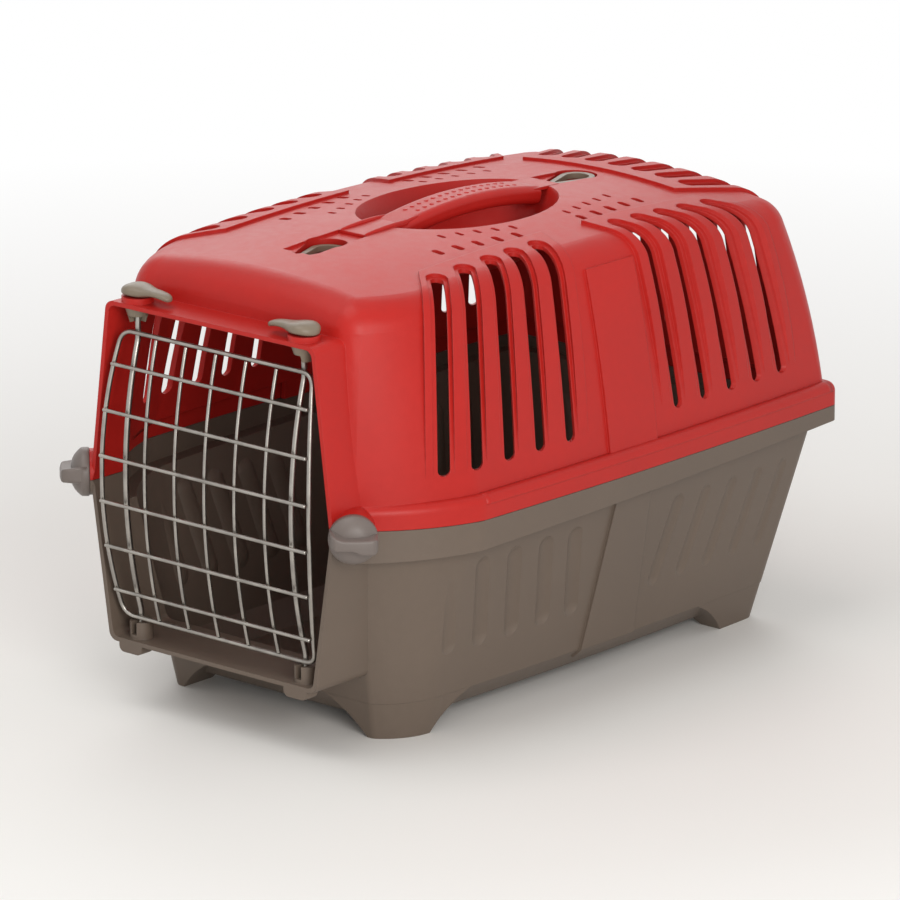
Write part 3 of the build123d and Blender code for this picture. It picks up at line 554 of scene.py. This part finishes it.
class CARRIER_OT_grip(bpy.types.Operator):
    """Root ribs and grip beads of the carry handle"""
    bl_idname = "carrier.grip"
    bl_label = "Grip beads and ribs"

    # All in mm, before the carrier is centred
    grip_half_length = 72.0
    grip_rise = 7.0
    grip_middle_y = 12.0
    roof_height = 324.0
    roof_radius = 2400.0
    rib_x = 11.0
    rib_front_y = -97.0
    rib_left_rear_y = -50.0
    rib_right_rear_y = -40.0
    rib_half_width = 1.7
    rib_height = 2.3
    rib_steps = 30
    rib_points = 10
    # How a rib swells between its ends: power of the sine, and the least share at the ends
    rib_power = 0.35
    rib_least = 0.1
    grip_front_y = -58.0
    grip_sink = 0.9
    bead_x = 4.2
    bead_front_y = -38.0
    bead_pitch = 7.2
    # Half profile of a bead: radius and height over the grip
    bead_profile = ((1.9, -0.8), (1.8, 0.05), (1.3, 0.42), (0.6, 0.58))
    bead_points = 14
    bead_count = 15

    def top_z(self, y):
        """Height of the grip's top over the floor."""
        radius = (self.grip_half_length ** 2 + self.grip_rise ** 2) / (2 * self.grip_rise)
        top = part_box("carry_handle")[1].z / MM
        return top - radius + math.sqrt(radius ** 2 - (y - self.grip_middle_y) ** 2)

    def roof_z(self, y):
        """Height of the roof's middle line."""
        return self.roof_height - self.roof_radius + math.sqrt(self.roof_radius ** 2 - y ** 2)

    def rib(self, name, x, rear_y, shift, finish):
        """A low rounded rib from the roof up along one edge of the grip."""
        rings = []
        for i in range(self.rib_steps + 1):
            share = i / self.rib_steps
            y = self.rib_front_y + (rear_y - self.rib_front_y) * share
            swell = max(self.rib_least, math.sin(math.pi * share) ** self.rib_power)
            rise = self.roof_z(y)
            if y > self.grip_front_y:
                rise = max(rise, self.top_z(y) - self.grip_sink)
            ring = []
            for k in range(self.rib_points):
                turn = math.tau * k / self.rib_points
                ring.append(Vector((x + self.rib_half_width * swell * math.cos(turn), y + shift,
                                    rise + self.rib_height * swell * math.sin(turn))) * MM)
            rings.append(ring)
        shell_piece(name, rings, "cover", finish)

    def bead(self, form, x, y, shift):
        """A flat round bead on the grip."""
        crown = self.top_z(y)
        count = self.bead_points
        rings = []
        for reach, lift in self.bead_profile:
            ring = []
            for k in range(count):
                turn = math.tau * k / count
                ring.append(form.verts.new(Vector((x + reach * math.cos(turn),
                                                   y + shift + reach * math.sin(turn),
                                                   crown + lift)) * MM))
            rings.append(ring)
        for near, beyond in zip(rings, rings[1:]):
            for k in range(count):
                n = (k + 1) % count
                form.faces.new((near[k], near[n], beyond[n], beyond[k])).smooth = True
        form.faces.new(rings[0][::-1])
        form.faces.new(rings[-1])

    def execute(self, context):
        finish = bpy.data.materials["Cover plastic"]
        shift = centring_shift()
        self.rib("grip_rib_left", -self.rib_x, self.rib_left_rear_y, shift, finish)
        self.rib("grip_rib_right", self.rib_x, self.rib_right_rear_y, shift, finish)
        mesh = bpy.data.meshes.new("grip_beads")
        form = bmesh.new()
        for i in range(self.bead_count):
            y = self.bead_front_y + i * self.bead_pitch
            self.bead(form, -self.bead_x, y, shift)
            self.bead(form, self.bead_x, y + self.bead_pitch / 2, shift)
        form.to_mesh(mesh)
        form.free()
        settle("grip_beads", mesh, "cover", finish)
        return {"FINISHED"}


class CARRIER_OT_cover(bpy.types.Operator):
    """Red moulded plastic of the cover and the handle"""
    bl_idname = "carrier.cover"
    bl_label = "Cover and handle"

    def execute(self, context):
        colours = context.scene.carrier_colours
        round_by = context.scene.carrier_sizes.edge_round
        worn = paler(colours.cover, 1.15, 0.03)
        finish = plastic("Cover plastic", colours.cover, worn, roughness=0.38, edge_round=round_by,
                         grain=0.35, specular=0.25)
        dress(COVER_NODES, finish)
        return {"FINISHED"}


class CARRIER_OT_base(bpy.types.Operator):
    """Taupe moulded plastic of the base"""
    bl_idname = "carrier.base"
    bl_label = "Base"

    def execute(self, context):
        colours = context.scene.carrier_colours
        round_by = context.scene.carrier_sizes.edge_round
        worn = paler(colours.base, 1.25, 0.02)
        finish = plastic("Base plastic", colours.base, worn, roughness=0.48, edge_round=round_by,
                         grain=0.45)
        dress(BASE_NODES, finish)
        return {"FINISHED"}


class CARRIER_OT_trim(bpy.types.Operator):
    """Grey plastics of the knobs, latches and strap loops"""
    bl_idname = "carrier.trim"
    bl_label = "Knobs, latches and loops"

    def execute(self, context):
        colours = context.scene.carrier_colours
        round_by = context.scene.carrier_sizes.edge_round * 0.7
        knob = plastic("Knob plastic", colours.knob, paler(colours.knob, 1.3), roughness=0.42,
                       edge_round=round_by, grain=0.3)
        latch = plastic("Latch plastic", colours.latch, paler(colours.latch, 1.2), roughness=0.38,
                        edge_round=round_by, grain=0.3)
        dress(CAM_NODES, knob)
        dress(HUB_NODES + RING_NODES, latch)
        return {"FINISHED"}


class CARRIER_OT_wire(bpy.types.Operator):
    """Plated steel of the door wires"""
    bl_idname = "carrier.wire"
    bl_label = "Door wires"

    def execute(self, context):
        dress(WIRE_NODES, plated_wire("Plated wire", context.scene.carrier_colours.wire))
        return {"FINISHED"}


class CARRIER_OT_stage(bpy.types.Operator):
    """Pale floor, soft studio light and the camera"""
    bl_idname = "carrier.stage"
    bl_label = "Stage"

    # In metres: the point that the camera and the lamps look at, half the floor's side,
    # and where the seen floor starts to run out to white and is white
    aim = Vector((0.0, 0.0075, 0.1471))
    floor_reach = 6.0
    fade_start = 0.45
    fade_end = 1.5
    fill_colour = (1.0, 0.985, 0.97, 1.0)
    fill_strength = 0.50

    @staticmethod
    def seen_ray(tree):
        """One for camera, glossy and transmission rays, nought for the light on the object."""
        path = tree.nodes.new("ShaderNodeLightPath")
        seen = combine(tree, "MAXIMUM", path.outputs["Is Camera Ray"], path.outputs["Is Glossy Ray"])
        return combine(tree, "MAXIMUM", seen, path.outputs["Is Transmission Ray"])

    def fade_to_white(self, tree, shader, place):
        """Keep the shadowed floor near the carrier and let it run out to plain white."""
        length = tree.nodes.new("ShaderNodeVectorMath")
        length.operation = "LENGTH"
        tree.links.new(place, length.inputs[0])
        far = ramp(tree, length.outputs["Value"], self.fade_start, self.fade_end)
        white = tree.nodes.new("ShaderNodeEmission")
        white.inputs["Strength"].default_value = 1.0
        fade = tree.nodes.new("ShaderNodeMixShader")
        tree.links.new(combine(tree, "MULTIPLY", far, self.seen_ray(tree)), fade.inputs["Fac"])
        tree.links.new(shader.outputs["BSDF"], fade.inputs[1])
        tree.links.new(white.outputs["Emission"], fade.inputs[2])
        output = next(node for node in tree.nodes if node.bl_idname == "ShaderNodeOutputMaterial")
        tree.links.new(fade.outputs["Shader"], output.inputs["Surface"])

    def lay_floor(self, scene):
        """A plain pale floor."""
        mesh = bpy.data.meshes.new("studio_floor")
        reach = self.floor_reach
        corners = [(-reach, -reach, 0), (reach, -reach, 0), (reach, reach, 0), (-reach, reach, 0)]
        mesh.from_pydata(corners, [], [(0, 1, 2, 3)])
        floor = bpy.data.objects.new("studio_floor", mesh)
        scene.collection.objects.link(floor)
        material = bpy.data.materials.new("Studio floor")
        tree, shader = node_tree(material)
        place = tree.nodes.new("ShaderNodeTexCoord").outputs["Object"]
        soft = noise(tree, place, 3.0, 2.0)
        colour = scene.carrier_colours.floor
        tint = mix_colour(tree, ramp(tree, soft, 0.3, 0.7), (*colour, 1.0),
                          (*(c * 0.985 for c in colour), 1.0))
        tree.links.new(tint, shader.inputs["Base Color"])
        shader.inputs["Roughness"].default_value = 0.7
        self.fade_to_white(tree, shader, place)
        mesh.materials.append(material)

    def fill_world(self, scene):
        """Even light on the carrier and a white background for the rays that see it."""
        world = bpy.data.worlds.new("Studio")
        scene.world = world
        world.use_nodes = True
        tree = world.node_tree
        tree.nodes.clear()
        output = tree.nodes.new("ShaderNodeOutputWorld")
        fill = tree.nodes.new("ShaderNodeBackground")
        fill.inputs["Color"].default_value = self.fill_colour
        fill.inputs["Strength"].default_value = self.fill_strength
        seen = tree.nodes.new("ShaderNodeBackground")
        seen.inputs["Color"].default_value = (1.0, 1.0, 1.0, 1.0)
        seen.inputs["Strength"].default_value = 1.0
        choose = tree.nodes.new("ShaderNodeMixShader")
        tree.links.new(self.seen_ray(tree), choose.inputs["Fac"])
        tree.links.new(fill.outputs["Background"], choose.inputs[1])
        tree.links.new(seen.outputs["Background"], choose.inputs[2])
        tree.links.new(choose.outputs["Shader"], output.inputs["Surface"])

    def look_at_aim(self, holder, place):
        """Put a lamp or the camera at a place and turn it to the carrier."""
        holder.location = place
        holder.rotation_euler = (self.aim - holder.location).to_track_quat("-Z", "Y").to_euler()
        bpy.context.scene.collection.objects.link(holder)

    def hang_lamps(self):
        """Three soft square lamps."""
        for name, place, size, power, tint in LAMPS:
            lamp = bpy.data.lights.new(name, "AREA")
            lamp.shape = "SQUARE"
            lamp.size = size
            lamp.energy = power
            lamp.color = tint
            self.look_at_aim(bpy.data.objects.new(name, lamp), place)

    def set_camera(self, scene):
        """The camera at the photograph's angle."""
        sizes = scene.carrier_sizes
        lens = bpy.data.cameras.new("photo_camera")
        lens.sensor_width = 36.0
        lens.lens = sizes.camera_lens
        lens.clip_end = 30.0
        camera = bpy.data.objects.new("photo_camera", lens)
        flat = sizes.camera_distance * math.cos(sizes.camera_elevation)
        self.look_at_aim(camera, self.aim + Vector((
            flat * math.sin(sizes.camera_azimuth),
            -flat * math.cos(sizes.camera_azimuth),
            sizes.camera_distance * math.sin(sizes.camera_elevation))))
        scene.camera = camera

    def execute(self, context):
        self.lay_floor(context.scene)
        self.fill_world(context.scene)
        self.hang_lamps()
        self.set_camera(context.scene)
        context.scene.view_settings.view_transform = "Standard"
        return {"FINISHED"}


class CARRIER_PT_panel(bpy.types.Panel):
    """Sizes, colours and steps of the carrier"""
    bl_idname = "CARRIER_PT_panel"
    bl_label = "Pet Carrier"
    bl_space_type = "VIEW_3D"
    bl_region_type = "UI"
    bl_category = "Pet Carrier"

    def draw(self, context):
        layout = self.layout
        for group in (context.scene.carrier_colours, context.scene.carrier_sizes):
            for name in group.__annotations__:
                layout.prop(group, name)
        for operator in OPERATORS:
            layout.operator(operator.bl_idname)


OPERATORS = (
    CARRIER_OT_cover,
    CARRIER_OT_base,
    CARRIER_OT_trim,
    CARRIER_OT_wire,
    CARRIER_OT_rim,
    CARRIER_OT_levers,
    CARRIER_OT_knobs,
    CARRIER_OT_grip,
    CARRIER_OT_stage,
)
CLASSES = (CarrierColours, CarrierSizes, *OPERATORS, CARRIER_PT_panel)


def register():
    """Register the classes and their settings."""
    for cls in CLASSES:
        bpy.utils.register_class(cls)
    bpy.types.Scene.carrier_colours = bpy.props.PointerProperty(type=CarrierColours)
    bpy.types.Scene.carrier_sizes = bpy.props.PointerProperty(type=CarrierSizes)


def unregister():
    """Remove the settings and the classes."""
    del bpy.types.Scene.carrier_sizes
    del bpy.types.Scene.carrier_colours
    for cls in reversed(CLASSES):
        bpy.utils.unregister_class(cls)


def main():
    """Make every piece in order."""
    register()
    for operator in OPERATORS:
        prefix, name = operator.bl_idname.split(".")
        getattr(getattr(bpy.ops, prefix), name)()


if __name__ == "__main__":
    main()
